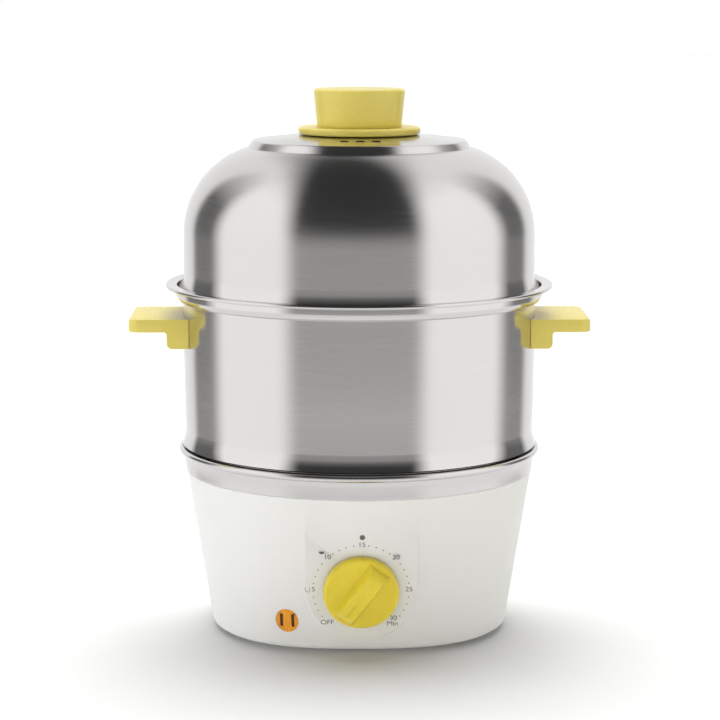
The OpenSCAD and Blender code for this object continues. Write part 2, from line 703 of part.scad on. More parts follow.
module lid_shell() color(steel) difference() {
    intersection() {
        lathe(concat(lid_side(0), reversed(lid_side(sheet))));
        rod(200, ledge_z, lid_top_z + 5);
    }
    rod(knob_hole_r, lid_top_z - 3, lid_top_z + 3);
    for (half = [0, 180], i = [-1:1]) rotate([0, 0, half + i * vent_step]) translate([0, -vent_ring_r, 0])
        rod(vent_r, lid_top_z - 6, lid_top_z + 3);
}

flange_z = lid_top_z;
grip_z = flange_z + 3.4;
grip_h = 18.1;

module lid_knob_flange() color(yellow) difference() {
    lathe(concat([[0, flange_z], [27, flange_z], [lid_flange_d / 2 - 1, flange_z - 0.1]],
        arc([lid_flange_d / 2 - 1.3, flange_z + 1.5], 1.3, -60, 0, 4),
        arc([lid_flange_d / 2 - 1.3, grip_z - 1.3], 1.3, 0, 90), [[0, grip_z]]));
    rod(knob_hole_r, flange_z - 1, grip_z + 1);
}

module lid_knob_grip() color(yellow) difference() {
    lathe(concat([[0, grip_z], [lid_knob_d / 2 - 1.8, grip_z]],
        arc([lid_knob_d / 2 - 1.2, grip_z + grip_h - 1.2], 1.2, 0, 90), [[0, grip_z + grip_h]]));
    rod(knob_hole_r, grip_z - 1, grip_z + 12);
}

module knob_washer() color("#b9b9b4") difference() {
    rod(9, lid_top_z - sheet - 1, lid_top_z - sheet);
    rod(knob_hole_r, lid_top_z - 4, lid_top_z + 1);
}

module knob_screw() color(steel)
    translate([0, 0, lid_top_z - sheet - 1]) mirror([0, 0, 1]) screw(2.5, 14, 4.6, 2.6);

base_housing();
bottom_cover();
rubber_feet();
cover_screws();
steel_collar();
heating_pan();
pan_gasket();
heat_spreader();
heating_element();
element_terminals();
heat_shield();
pan_brackets();
bracket_screws();
thermostat();
thermal_fuse();
timer_front_plate();
timer_back_plate();
timer_pillars();
timer_screws();
shaft_bushing();
mainspring();
timer_bell();
bell_hammer();
switch_block();
switch_leaves();
indicator_lens();
lamp_holder();
neon_lamp();
lamp_resistor();
terminal_block();
internal_wires();
cord_gland();
cord_clamp();
dial_knob();
dial_shaft();
main_wheel();
switch_cam();
second_arbor();
second_wheel();
escape_arbor();
escape_wheel();
egg_rack();
ring_shell();
handle_left();
handle_right();
handle_screws();
handle_washers();
steam_tray();
lid_shell();
lid_knob_grip();
lid_knob_flange();
knob_washer();
knob_screw();
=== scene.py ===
"""Looks of the egg cooker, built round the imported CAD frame. Lengths are millimetres until a mesh is made."""

import json
import math

import bmesh
import bpy
from mathutils import Matrix, Vector


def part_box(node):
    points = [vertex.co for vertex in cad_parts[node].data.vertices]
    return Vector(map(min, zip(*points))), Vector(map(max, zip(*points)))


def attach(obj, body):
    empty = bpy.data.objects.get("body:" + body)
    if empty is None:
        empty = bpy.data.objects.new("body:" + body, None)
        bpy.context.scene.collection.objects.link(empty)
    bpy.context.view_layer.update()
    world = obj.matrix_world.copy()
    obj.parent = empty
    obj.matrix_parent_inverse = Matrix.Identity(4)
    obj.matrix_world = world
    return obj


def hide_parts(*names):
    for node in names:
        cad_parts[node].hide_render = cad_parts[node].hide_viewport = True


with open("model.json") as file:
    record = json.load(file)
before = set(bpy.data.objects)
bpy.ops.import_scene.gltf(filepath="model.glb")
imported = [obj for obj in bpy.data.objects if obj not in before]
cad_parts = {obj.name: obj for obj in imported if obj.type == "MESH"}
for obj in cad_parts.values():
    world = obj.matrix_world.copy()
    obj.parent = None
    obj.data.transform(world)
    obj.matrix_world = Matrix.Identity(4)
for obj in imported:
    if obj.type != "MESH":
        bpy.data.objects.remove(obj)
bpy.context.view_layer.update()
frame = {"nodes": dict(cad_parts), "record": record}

MM = 0.001


# ---- Sizes, taken from the frame ----

def low(node, axis=2):
    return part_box(node)[0][axis] / MM


def high(node, axis=2):
    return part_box(node)[1][axis] / MM


SHEET = 0.8  # thickness of the steel
WALL = 2.6  # thickness of the housing

# The pot ring, the base and the pan
RIM_R = high("ring_shell", 0)
POT_R = RIM_R - 8.6
NECK_R = POT_R + 3.8
PAN_R = POT_R - 5.4
PAN_FLOOR = low("heating_pan")
COVER_Z = low("bottom_cover")
HOUSING_LOW = low("base_housing")
BASE_H = high("base_housing")
LIP_Z = high("heating_pan")
RING_Z = low("ring_shell")
RIM_Z = high("ring_shell")
LEDGE_Z = low("lid_shell")

# The housing narrows towards its foot, which is a rounded square
HOUSING_TOP_R = POT_R - 1.1
TAPER = math.radians(9.65)
FOOT_R = HOUSING_TOP_R - (BASE_H - HOUSING_LOW) * math.tan(TAPER)
FOOT_POWER = 1.667

# The lid and its knob
LID_TOP = high("lid_shell")
LID_WALL_R = POT_R - 0.3
LID_WALL_Z = LEDGE_Z + 11.6
DOME_R = 43.0
DOME_Z = LEDGE_Z + 29.6
GRIP_Z = low("lid_knob_grip")
GRIP_TOP = high("lid_knob_grip")
KNOB_R = high("lid_knob_grip", 0)
FLANGE_R = high("lid_knob_flange", 0)

# The handles
HANDLE_REACH = high("handle_right", 0)
HANDLE_TOP = high("handle_right")
HANDLE_LOW = low("handle_right")
HANDLE_DEPTH = high("handle_right", 1)

# The dial, its panel, the lens and the cord gland
DIAL_Z = 31.8
DIAL_R = 17.5
SHAFT_HOLE_R = 5.2
PANEL_W = 26.6
PANEL_RISE = 0.9
PANEL_PROUD = 0.15
LENS_TURN = 21.2
LENS_Z = 15.3
LENS_R = 5.6
GLAND_Z = 18
GLAND_R = 6.1


def foot_norm(a):
    """How the foot's reach changes with angle a. A circle's would be 1 all round."""
    return abs(math.cos(a)) ** FOOT_POWER + abs(math.sin(a)) ** FOOT_POWER


def plan_point(a, z, inset=0.0):
    """Point of the wall that faces angle a: a rounded square at the foot of the base, a circle at its top."""
    up = (z - HOUSING_LOW) / (BASE_H - HOUSING_LOW)
    size = (1 - up) * FOOT_R / foot_norm(a) ** (1 - 1 / FOOT_POWER)
    return tuple(size * math.copysign(abs(v) ** (FOOT_POWER - 1), v) + (up * HOUSING_TOP_R - inset) * v
                 for v in (math.cos(a), math.sin(a)))


def wall_frame(turn, z):
    """Frame of a spot on the housing's wall: x to the right, y up the wall, z out of it, in metres."""
    a = math.radians(turn - 90)
    x, y = plan_point(a, z)
    reach = FOOT_R * foot_norm(a) ** (1 / FOOT_POWER)
    slope = math.atan((HOUSING_TOP_R - reach) / (BASE_H - HOUSING_LOW))
    return (Matrix.Translation((x * MM, y * MM, z * MM)) @ Matrix.Rotation(math.radians(turn), 4, "Z")
            @ Matrix.Rotation(math.pi / 2 + slope, 4, "X"))


FACE = wall_frame(0, DIAL_Z) @ Matrix.Translation((0, 0, PANEL_PROUD * MM))


# ---- Nodes, owned by a material or by the world ----

# Sockets of the mix node when it mixes colours
MIX_SHARE, MIX_FIRST, MIX_SECOND, MIX_RESULT = 0, 6, 7, 2


def node(owner, kind, **settings):
    """Adds a node. The settings name its inputs or its properties."""
    made = owner.node_tree.nodes.new(kind)
    for key, value in settings.items():
        if key in made.inputs:
            made.inputs[key].default_value = value
        else:
            setattr(made, key, value)
    return made


def link(owner, source, target):
    owner.node_tree.links.new(source, target)


def feed(owner, socket, value):
    """Gives an input a number or a colour, or links it to the output of another node."""
    if isinstance(value, (int, float)):
        socket.default_value = value
    elif isinstance(value, tuple):
        socket.default_value = (*value, 1)
    else:
        link(owner, value, socket)


def maths(owner, operation, *values):
    made = node(owner, "ShaderNodeMath", operation=operation)
    for socket, value in zip(made.inputs, values):
        feed(owner, socket, value)
    return made.outputs[0]


def mix(owner, share, first, second):
    made = node(owner, "ShaderNodeMix", data_type="RGBA")
    for place, value in ((MIX_SHARE, share), (MIX_FIRST, first), (MIX_SECOND, second)):
        feed(owner, made.inputs[place], value)
    return made.outputs[MIX_RESULT]


def remap(owner, value, first, last, low_value=0.0, high_value=1.0, **settings):
    """Stretches first to last over low_value to high_value."""
    made = node(owner, "ShaderNodeMapRange", **settings)
    link(owner, value, made.inputs["Value"])
    numbers = {"From Min": first, "From Max": last, "To Min": low_value, "To Max": high_value}
    for name, number in numbers.items():
        made.inputs[name].default_value = number
    return made.outputs["Result"]


# ---- Materials ----

def shader_of(material):
    return material.node_tree.nodes["Principled BSDF"]


def drive(material, socket, source):
    """Links an input of the material's shader to the output of a node."""
    link(material, source, shader_of(material).inputs[socket])


def new_material(name, color, roughness, metallic=0.0, **sockets):
    material = bpy.data.materials.new(name)
    material.use_nodes = True
    material.diffuse_color = (*color, 1)
    inputs = shader_of(material).inputs
    inputs["Base Color"].default_value = (*color, 1)
    inputs["Roughness"].default_value = roughness
    inputs["Metallic"].default_value = metallic
    for socket, value in sockets.items():
        inputs[socket.replace("_", " ")].default_value = value
    return material


def noise(material, scale, detail, vector=None):
    made = node(material, "ShaderNodeTexNoise", Scale=scale, Detail=detail)
    if vector is None:
        vector = node(material, "ShaderNodeTexCoord").outputs["Object"]
    link(material, vector, made.inputs["Vector"])
    return made.outputs["Fac"]


def roughen(material, value, smoothest, roughest):
    """Turns the middle of a noise into a roughness."""
    return remap(material, value, 0.3, 0.7, smoothest, roughest)


def shades(color, darker, lighter):
    """The color made darker and lighter by these shares."""
    return tuple(c * (1 - darker) for c in color), tuple(min(1, c * (1 + lighter)) for c in color)


def bump(material, value, distance, strength, after=None):
    made = node(material, "ShaderNodeBump", Strength=strength, Distance=distance)
    link(material, value, made.inputs["Height"])
    if after:
        link(material, after, made.inputs["Normal"])
    drive(material, "Normal", made.outputs["Normal"])
    return made.outputs["Normal"]


def moulded(name, color, roughness=0.38, grain=900, depth=0.00002, tone=0.05, ior=1.49):
    """Moulded plastic: faint flow marks in its colour and gloss, and a fine moulded grain."""
    material = new_material(name, color, roughness, IOR=ior)
    drive(material, "Base Color", mix(material, noise(material, 28, 4), *shades(color, tone, tone / 2)))
    fine = noise(material, grain, 2)
    drive(material, "Roughness", roughen(material, fine, roughness - 0.04, roughness + 0.05))
    bump(material, fine, depth, 0.15)
    return material


POLISH = 0.45  # share of the roughness that polishing takes away


def brushed(name, color, roughness, tone=0.035, polished=()):
    """Steel brushed round its axis: fine lines run round the pot, and across a flat face they are circles.
    The bands of height given as polished are smoother."""
    material = new_material(name, color, roughness, 1.0, Anisotropic=0.6, Anisotropic_Rotation=0.25)
    tangent = node(material, "ShaderNodeTangent", direction_type="RADIAL", axis="Z")
    drive(material, "Tangent", tangent.outputs["Tangent"])
    place = node(material, "ShaderNodeSeparateXYZ")
    link(material, node(material, "ShaderNodeTexCoord").outputs["Object"], place.inputs[0])
    x, y, z = place.outputs
    squares = [maths(material, "MULTIPLY", v, v) for v in (x, y)]
    radius = maths(material, "MAXIMUM", maths(material, "SQRT", maths(material, "ADD", *squares)), 0.001)
    along = maths(material, "ADD", z, radius)
    outward = [maths(material, "DIVIDE", v, radius) for v in (x, y)]
    lines = []
    # Three sets of lines: how densely they lie side by side, and how fast they change on their way round
    for across, around in ((1500.0, 5.0), (5200.0, 9.0), (420.0, 2.0)):
        on_line = node(material, "ShaderNodeCombineXYZ")
        for socket, value, scale in zip(on_line.inputs, (*outward, along), (around, around, across)):
            link(material, maths(material, "MULTIPLY", value, scale), socket)
        lines.append(noise(material, 1.0, 3, on_line.outputs[0]))
    medium, fine, coarse = lines
    broad = maths(material, "MULTIPLY_ADD", medium, 0.6, maths(material, "MULTIPLY", coarse, 0.4))
    drive(material, "Base Color", mix(material, broad, *shades(color, tone, tone)))
    rough = roughen(material, medium, roughness - 0.02, roughness + 0.03)
    for low_z, high_z in polished:
        inside = maths(material, "COMPARE", z, (low_z + high_z) / 2 * MM, (high_z - low_z) / 2 * MM)
        rough = maths(material, "MULTIPLY", rough, maths(material, "MULTIPLY_ADD", inside, -POLISH, 1.0))
    drive(material, "Roughness", rough)
    bump(material, fine, 0.000002, 0.12, bump(material, medium, 0.000003, 0.12))
    return material


def metal(name, color, roughness, grain=700, tone=0.08):
    """Plain metal with a fine mottle in its colour and gloss."""
    material = new_material(name, color, roughness, 1.0)
    mottle = noise(material, grain, 4)
    drive(material, "Base Color", mix(material, mottle, *shades(color, tone, 0)))
    drive(material, "Roughness", roughen(material, mottle, roughness - 0.05, roughness + 0.08))
    bump(material, mottle, 0.00001, 0.2)
    return material


WHITE = moulded("white_plastic", (0.86, 0.86, 0.84), 0.36, tone=0.012, grain=1400, depth=0.000004)
YELLOW = moulded("yellow_plastic", (0.80, 0.665, 0.125), 0.3, tone=0.02, grain=1300, depth=0.000004, ior=1.55)
DIAL_YELLOW = moulded("yellow_dial", (0.86, 0.69, 0.04), 0.3, tone=0.02, grain=1300, depth=0.000003)
STEEL = brushed("brushed_steel", (0.67, 0.655, 0.645), 0.18,
                polished=((RING_Z - 1, RING_Z + 8.6), (LEDGE_Z - 0.5, LEDGE_Z + 11.6)))
INNER_STEEL = brushed("inner_steel", (0.62, 0.61, 0.60), 0.32)
INK = moulded("scale_ink", (0.16, 0.14, 0.12), 0.6, tone=0.2, grain=4000)
SLOT_MATERIALS = {
    "white_housing": WHITE,
    "brushed_steel": STEEL,
    "yellow_plastic": YELLOW,
    "black_rubber": moulded("black_rubber", (0.025, 0.025, 0.026), 0.75, tone=0.2, grain=1100, depth=0.00005),
    "grey_silicone": moulded("grey_silicone", (0.36, 0.36, 0.35), 0.6, tone=0.08),
    "zinc_steel": metal("zinc_steel", (0.55, 0.56, 0.58), 0.32),
    "cast_aluminium": metal("cast_aluminium", (0.68, 0.69, 0.70), 0.45, grain=350),
    "element_sheath": metal("element_sheath", (0.16, 0.15, 0.15), 0.5, tone=0.3),
    "ceramic_white": moulded("ceramic_white", (0.78, 0.75, 0.67), 0.55, tone=0.08),
    "dark_bakelite": moulded("dark_bakelite", (0.07, 0.045, 0.03), 0.4, tone=0.3),
    "brass": metal("brass", (0.72, 0.53, 0.23), 0.28),
    "spring_steel": metal("spring_steel", (0.25, 0.28, 0.34), 0.3),
    "bell_steel": metal("bell_steel", (0.78, 0.77, 0.74), 0.16),
    "holder_nylon": moulded("holder_nylon", (0.74, 0.72, 0.64), 0.5, tone=0.05),
    "lamp_glass": moulded("lamp_glass", (0.9, 0.5, 0.2), 0.08),
    "amber_lens": moulded("amber_lens_plain", (0.8, 0.36, 0.05), 0.1),
    "resistor_body": moulded("resistor_body", (0.5, 0.32, 0.16), 0.45, tone=0.15),
    "wire_sleeve": moulded("wire_sleeve", (0.42, 0.04, 0.03), 0.55, tone=0.15),
    "white_rack": moulded("white_rack", (0.82, 0.82, 0.79), 0.42, tone=0.02),
}
for part in frame["record"]["subparts"]:
    shown = frame["nodes"][part["node"]]
    shown.data.materials.clear()
    shown.data.materials.append(SLOT_MATERIALS[part["material_slot"]])


# ---- Making meshes ----

def arc(middle, radius, start, stop, steps=10):
    """Points along an arc between two angles in degrees."""
    turns = [math.radians(start + (stop - start) * i / steps) for i in range(steps + 1)]
    return [(middle[0] + radius * math.cos(a), middle[1] + radius * math.sin(a)) for a in turns]


def spots(count, r, first):
    """Points spaced evenly on a circle round the axis, the first at an angle in degrees."""
    return arc((0, 0), r, first, first + 360, count)[:-1]


def rounded(points, closed=True, steps=5):
    """An outline through corners given as (x, y), or as (x, y, radius) where they are rounded."""
    out = []
    count = len(points)
    for i, point in enumerate(points):
        corner = Vector(point[:2])
        if len(point) < 3 or (not closed and i in (0, count - 1)):
            out.append(tuple(corner))
            continue
        back = (Vector(points[i - 1][:2]) - corner).normalized()
        on = (Vector(points[(i + 1) % count][:2]) - corner).normalized()
        half = back.angle(on) / 2
        middle = corner + (back + on).normalized() * point[2] / math.sin(half)
        begin = corner + back * point[2] / math.tan(half)
        finish = corner + on * point[2] / math.tan(half)
        first = math.atan2(*(begin - middle).yx)
        turn = (math.atan2(*(finish - middle).yx) - first + math.pi) % (2 * math.pi) - math.pi
        out += [(middle.x + point[2] * math.cos(first + turn * k / steps),
                 middle.y + point[2] * math.sin(first + turn * k / steps)) for k in range(steps + 1)]
    return out


def add_object(name, points, faces, place=None, sharp=32.0):
    """A mesh object from points in millimetres, with outward normals and shading creases at sharp angles."""
    mesh = bpy.data.meshes.new(name)
    mesh.from_pydata([Vector(p) * MM for p in points], [], faces)
    work = bmesh.new()
    work.from_mesh(mesh)
    bmesh.ops.remove_doubles(work, verts=work.verts, dist=1e-7)
    bmesh.ops.recalc_face_normals(work, faces=work.faces)
    work.to_mesh(mesh)
    work.free()
    if place is not None:
        mesh.transform(place)
    made = bpy.data.objects.new(name, mesh)
    bpy.context.scene.collection.objects.link(made)
    shade(made, sharp)
    return made


def shade(made, sharp=32.0):
    for face in made.data.polygons:
        face.use_smooth = True
    made.data.set_sharp_from_angle(angle=math.radians(sharp))


def lathe(name, profile, place=None, steps=256, sharp=32.0):
    """A closed solid of revolution from a closed outline of (radius, height)."""
    points, rings = [], []
    for r, z in profile:
        if r < 1e-4:
            rings.append([len(points)] * steps)
            points.append((0, 0, z))
        else:
            rings.append(list(range(len(points), len(points) + steps)))
            points += [(r * math.sin(2 * math.pi * k / steps), -r * math.cos(2 * math.pi * k / steps), z)
                       for k in range(steps)]
    faces = []
    for i, ring in enumerate(rings):
        following = rings[(i + 1) % len(rings)]
        for k in range(steps):
            corners = [ring[k], ring[(k + 1) % steps], following[(k + 1) % steps], following[k]]
            unique = list(dict.fromkeys(corners))
            if len(unique) > 2:
                faces.append(unique)
    return add_object(name, points, faces, place, sharp)


def shift(made, x, y):
    made.data.transform(Matrix.Translation((x * MM, y * MM, 0)))
    return made


def rod(name, r, z0, z1, at=(0, 0), place=None, steps=48):
    made = shift(lathe(name, [(0, z0), (r, z0), (r, z1), (0, z1)], None, steps), *at)
    if place is not None:
        made.data.transform(place)
    return made


def extruded(outlines, low_z, high_z):
    """Points and faces of the prisms that stand on closed outlines."""
    points, faces = [], []
    for outline in outlines:
        first, n = len(points), len(outline)
        points += [(x, y, z) for z in (low_z, high_z) for x, y in outline]
        faces += [tuple(range(first, first + n)), tuple(range(first + n, first + 2 * n))]
        faces += [(first + i, first + (i + 1) % n, first + n + (i + 1) % n, first + n + i) for i in range(n)]
    return points, faces


def block(name, corner, size, place=None):
    """A box from its lowest corner and its size."""
    x, y, z = corner
    a, b, c = size
    points = [(x + i * a, y + j * b, z + k * c) for k in (0, 1) for j in (0, 1) for i in (0, 1)]
    faces = [(0, 2, 3, 1), (4, 5, 7, 6), (0, 1, 5, 4), (2, 6, 7, 3), (0, 4, 6, 2), (1, 3, 7, 5)]
    return add_object(name, points, faces, place)


def bake_modifiers(made):
    """Replaces the object's mesh with what its modifiers make of it."""
    bpy.context.view_layer.update()
    result = bpy.data.meshes.new_from_object(made.evaluated_get(bpy.context.evaluated_depsgraph_get()))
    made.modifiers.clear()
    made.data = result


def boolean(made, operation, others):
    for other in others:
        step = made.modifiers.new("cut", "BOOLEAN")
        step.operation = operation
        step.solver = "EXACT"
        step.object = other
    bake_modifiers(made)
    for other in others:
        bpy.data.objects.remove(other)
    shade(made)
    return made


def bevel(made, width, segments=3, angle=40):
    step = made.modifiers.new("bevel", "BEVEL")
    step.width = width * MM
    step.segments = segments
    step.limit_method = "ANGLE"
    step.angle_limit = math.radians(angle)
    bake_modifiers(made)
    shade(made, 40)
    return made


def finish_piece(made, material, body, slot, *nodes):
    """Gives the piece its material, hangs it on the empty of the body it rides on and hides the CAD nodes it
    stands for.
    """
    made.data.materials.clear()
    made.data.materials.append(material)
    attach(made, body)
    if nodes:
        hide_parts(*nodes)
    return made


# ---- Base ----

def plan_stack(name, levels, steps=256):
    """A solid through the base's outline at a list of (height, inset from the wall)."""
    turns = [2 * math.pi * k / steps for k in range(steps)]
    points = [(*plan_point(a, z, inset), z) for z, inset in levels for a in turns]
    faces = [tuple(range(steps)), tuple(range(len(points) - steps, len(points)))]
    for j in range(len(levels) - 1):
        below, above = j * steps, (j + 1) * steps
        faces += [(below + k, below + (k + 1) % steps, above + (k + 1) % steps, above + k)
                  for k in range(steps)]
    return add_object(name, points, faces)


# Above this height on the panel its face rolls back, with this radius
PANEL_FADE_Y = 6.0
PANEL_FADE_R = 64.0


def panel_block(name, depth, fillet, top_y):
    """The dial panel: a U-shaped pad with a rounded edge, whose face rolls back into the wall at its top."""
    # Each row goes across the pad: (height of its middle, angle below level of its ends)
    rows = [(PANEL_RISE + (top_y - PANEL_RISE) * (1 - i / 30), 0) for i in range(30)]
    rows += [(PANEL_RISE, math.radians(90 * i / 40)) for i in range(41)]
    edge_turns = [math.radians(90 * i / 6) for i in range(7)]
    edge = [(0, -depth)] + [(fillet * (1 - math.cos(a)), -fillet * (1 - math.sin(a))) for a in edge_turns]
    across = [-1 + 2 * i / 24 for i in range(1, 24)]

    def roll_back(y):
        past = max(0.0, y - PANEL_FADE_Y)
        return math.sqrt(PANEL_FADE_R ** 2 - past ** 2) - PANEL_FADE_R

    points = []
    for middle_y, turn in rows:
        right = [((PANEL_W - inward) * math.cos(turn), middle_y - (PANEL_W - inward) * math.sin(turn), z)
                 for inward, z in edge]
        left = [(-x, y, z) for x, y, z in right]
        inner_x, inner_y, _ = right[-1]
        line = left + [(inner_x * t, inner_y, 0) for t in across] + right[::-1]
        points += [(x, y, z if z == -depth else z + roll_back(y)) for x, y, z in line]
    width = len(line)
    faces = []
    for j in range(len(rows) - 1):
        this, following = j * width, (j + 1) * width
        faces += [(this + i, this + (i + 1) % width, following + (i + 1) % width, following + i)
                  for i in range(width)]
    faces.append(tuple(range(width)))
    return add_object(name, points, faces, FACE)


def make_housing():
    foot_edge, top_edge = 0.25, 0.35
    housing = plan_stack("housing", [(HOUSING_LOW, foot_edge), (HOUSING_LOW + foot_edge, 0),
                                     (BASE_H - top_edge, 0), (BASE_H, top_edge)])
    trim = block("trim", (-150, -150, HOUSING_LOW), (300, 300, BASE_H - HOUSING_LOW))
    pad = boolean(panel_block("pad", 14, 1.0, 47), "INTERSECT", [trim])
    housing = boolean(housing, "UNION", [pad])
    housing = boolean(housing, "DIFFERENCE", [
        plan_stack("hollow", [(HOUSING_LOW - 1, WALL), (BASE_H + 1, WALL)]),
        rod("shaft_hole", SHAFT_HOLE_R, -8, 2, place=FACE),
        rod("lamp_hole", LENS_R + 0.12, -8, 4, place=wall_frame(-LENS_TURN, LENS_Z)),
        rod("gland_hole", GLAND_R, -8, 4, place=wall_frame(180, GLAND_Z))])
    shade(housing, 28)
    return finish_piece(housing, WHITE, "base", "white_housing", "base_housing")


def make_cover():
    """The bottom cover: a rounded edge under the housing, cooling slots and screw wells."""
    edge_r, gap, top = 4.3, 0.2, HOUSING_LOW - 0.2
    turns = [math.radians(a) for a in range(-90, 1, 6)]
    edge = [(COVER_Z + edge_r * (1 + math.sin(a)), gap + edge_r * (1 - math.cos(a))) for a in turns]
    cover = plan_stack("cover", edge + [(top - 0.25, gap), (top, gap + 0.25)])
    spigot = plan_stack("spigot", [(top - 1, 3.2), (top + 2.6, 3.2), (top + 2.9, 3.5)])
    cover = boolean(cover, "UNION", [spigot])
    cuts = [plan_stack("inside", [(COVER_Z + 2.4, 5.4), (top + 4, 5.0)]),
            rod("hollow", 41, 0, COVER_Z + 0.4, steps=128)]
    for k in range(24):
        slot_cut = block("slot", (20, -1.2, 0), (16, 2.4, 8))
        slot_cut.data.transform(Matrix.Rotation(math.radians(15 * k), 4, "Z"))
        cuts.append(slot_cut)
    cuts += [rod("well", 3.4, 0, COVER_Z + 1.2, at) for at in spots(4, 63, 45)]
    cover = boolean(cover, "DIFFERENCE", cuts)
    return finish_piece(cover, WHITE, "base", "white_housing", "bottom_cover")


def make_collar():
    """The steel collar between base and pot, with a rolled bead at its top."""
    root_r = HOUSING_TOP_R - WALL + 0.4
    outer = [(root_r, BASE_H), (HOUSING_TOP_R + 0.25, BASE_H, 0.3), (POT_R - 0.75, BASE_H + 1.4),
             (POT_R - 0.45, BASE_H + 4), (POT_R - 0.05, BASE_H + 6.4, 6), (POT_R + 0.9, BASE_H + 8.6, 2)]
    bead = arc((POT_R + 1.15, LIP_Z - 1.95), 1.4, -62, 180, 18)
    inner = [(POT_R - 0.6, LIP_Z - 2.7, 0.6), (POT_R - 0.1, BASE_H + 9.0, 2), (POT_R - 0.85, BASE_H + 6.6, 5),
             (POT_R - 1.25, BASE_H + 4), (POT_R - 1.5, BASE_H + SHEET), (root_r, BASE_H + SHEET)]
    profile = rounded(outer, False) + bead + rounded(inner, False)
    return finish_piece(lathe("collar", profile), STEEL, "base", "brushed_steel", "steel_collar")


def make_pan():
    bend, lip_r = 8, POT_R - 1.3
    middle = (PAN_R - bend, PAN_FLOOR + bend)
    lip = rounded([(PAN_R, LIP_Z - SHEET), (lip_r, LIP_Z - SHEET, 0.3), (lip_r, LIP_Z, 0.3),
                   (PAN_R - SHEET, LIP_Z)], False)
    profile = ([(0, PAN_FLOOR)] + arc(middle, bend, -90, 0, 12) + lip
               + arc(middle, bend - SHEET, 0, -90, 12) + [(0, PAN_FLOOR + SHEET)])
    return finish_piece(lathe("pan", profile), INNER_STEEL, "base", "brushed_steel", "heating_pan")


# ---- Pot ring, trays ----

def make_ring():
    """The pot's wall: a flared foot, a swelling under the ledge for the tray, a neck and a flat rim."""
    flare, turn = 18.7, 27.4
    middle = (POT_R - 0.8 + flare, RING_Z + flare * math.sin(math.radians(turn)))
    waist_z, shoulder_z = RING_Z + 26, RING_Z + 43.5
    outer = (arc(middle, flare, 180 + turn - 2.4, 180, 14)
             + [(POT_R - 0.32, waist_z), (POT_R, shoulder_z), (POT_R + 0.1, LEDGE_Z - 8)]
             + arc((POT_R + 0.2, LEDGE_Z + 1.1), 3.6, -90, 0, 12)
             + rounded([(NECK_R, RIM_Z - 3), (NECK_R, RIM_Z - 1.25, 0.9), (RIM_R - 2, RIM_Z - 1.0)], False)
             + arc((RIM_R - 0.9, RIM_Z - 0.9), 0.9, -90, 90, 12))
    neck = NECK_R - SHEET
    inner = (rounded([(RIM_R - 2, RIM_Z - 0.15), (neck, RIM_Z - 0.15, 0.8), (neck, LEDGE_Z, 0.6),
                      (POT_R - 0.6, LEDGE_Z, 0.3), (POT_R - 0.7, LEDGE_Z - 6)], False)
             + [(POT_R - SHEET, shoulder_z), (POT_R - 0.32 - SHEET, waist_z)]
             + arc(middle, flare + SHEET, 180, 180 + turn - 3, 14)
             + [(POT_R - 1, RING_Z + 0.7), (POT_R - 1, RING_Z)])
    foot = [(POT_R - 0.2, RING_Z), (POT_R + 0.7, RING_Z + 0.5)]
    ring = lathe("pot_ring", foot + outer + inner)
    return finish_piece(ring, STEEL, "ring", "brushed_steel", "ring_shell")


SEATS = [(0, 0)] + spots(6, 50, 0)


def make_perforated(name, profile, seat_r, floor_z, floor_t, vents, material, body, slot, part):
    """A dish with round egg seats whose edges are rolled, and small steam holes given as (radius, places)."""
    dish = lathe(name, profile)
    cuts = [rod("seat", seat_r + 0.3, floor_z - 4, floor_z + 6, at, steps=64) for at in SEATS]
    cuts += [rod("vent", r, floor_z - 4, floor_z + 6, at, steps=24) for r, places in vents for at in places]
    dish = boolean(dish, "DIFFERENCE", cuts)
    finish_piece(dish, material, body, slot, part)
    top = floor_z + floor_t
    lip = rounded([(seat_r, floor_z, 0.35), (seat_r + 0.9, floor_z, 0.1), (seat_r + 1.6, top, 0.5),
                   (seat_r, top, 0.4)])
    for number, at in enumerate(SEATS):
        bead = shift(lathe("%s_seat_%d" % (name, number), lip, None, 96), *at)
        finish_piece(bead, material, body, slot)


def make_rack():
    """The lower egg rack: plastic, hung in the pan by its rim."""
    floor, floor_t = LIP_Z - 9, 1.4
    rim_r, rim_top = POT_R - 2, LIP_Z + 1.2
    profile = rounded([(0, floor), (PAN_R - 4.4, floor, 2), (PAN_R - 2.4, floor + 2, 1), (PAN_R - 1.6, LIP_Z),
                       (rim_r, LIP_Z, 0.5), (rim_r, rim_top, 0.5), (PAN_R - 3, rim_top, 1),
                       (PAN_R - 3.8, floor + 2.4, 0.8), (PAN_R - 5, floor + floor_t, 1),
                       (0, floor + floor_t)])
    vents = [(2.5, spots(6, 29, 30)), (3.5, spots(6, 66, 30))]
    make_perforated("rack", profile, 19, floor, floor_t, vents, SLOT_MATERIALS["white_rack"],
                    "rack", "white_rack", "egg_rack")


def make_tray():
    """The upper tray: steel, standing on the ring's ledge by its rim."""
    floor = LEDGE_Z - 10
    rim_r, rim_top = POT_R + 1.1, LEDGE_Z + SHEET
    profile = rounded([(0, floor), (POT_R - 3.6, floor, 1.6), (POT_R - 1.9, floor + 2, 1),
                       (POT_R - 1.6, LEDGE_Z), (rim_r, LEDGE_Z, 0.3), (rim_r, rim_top, 0.3),
                       (POT_R - 2.3, rim_top, 0.9), (POT_R - 2.7, floor + 2.3, 0.8),
                       (POT_R - 4, floor + SHEET, 1), (0, floor + SHEET)])
    vents = [(2, spots(6, 29, 30)), (3, spots(6, 66, 30)), (2, spots(6, 75, 21)), (2, spots(6, 75, 39))]
    make_perforated("tray", profile, 18, floor, SHEET, vents, INNER_STEEL,
                    "tray", "brushed_steel", "steam_tray")


